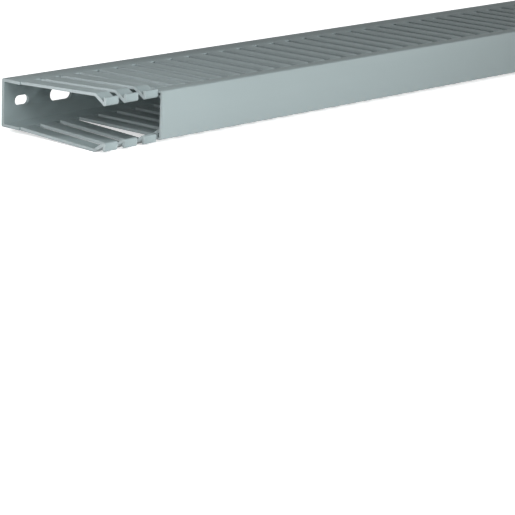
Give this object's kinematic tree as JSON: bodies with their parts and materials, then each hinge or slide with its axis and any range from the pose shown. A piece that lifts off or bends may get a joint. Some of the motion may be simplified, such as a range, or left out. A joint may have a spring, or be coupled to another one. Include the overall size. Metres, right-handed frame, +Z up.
{
  "type": "slotted wire duct",
  "caption": "Slotted PVC wire duct: a U channel with a row of hooked fingers along each wall, slotted fixing holes in its base, and a clip-on lid slid part way along.",
  "frame": {"origin": "middle of the base's back face, half way along the duct", "axes": "+X along the duct, from the end that the lid leaves bare; +Y out of the back of the base, away from the lid; +Z up, across the duct"},
  "size_m": [1.0354, 0.0665, 0.0266],
  "materials": {
    "duct_pvc": "smooth extruded PVC, satin",
    "lid_pvc": "smooth extruded PVC, satin"
  },
  "bodies": {
    "duct": {"duct_body": "duct_pvc"},
    "lid": {"lid": "lid_pvc"}
  },
  "joints": [
    {"name": "lid_slide", "type": "slide", "parent": "duct", "child": "lid", "axis": [1, 0, 0], "range_m": [0, 0.97]}
  ]
}
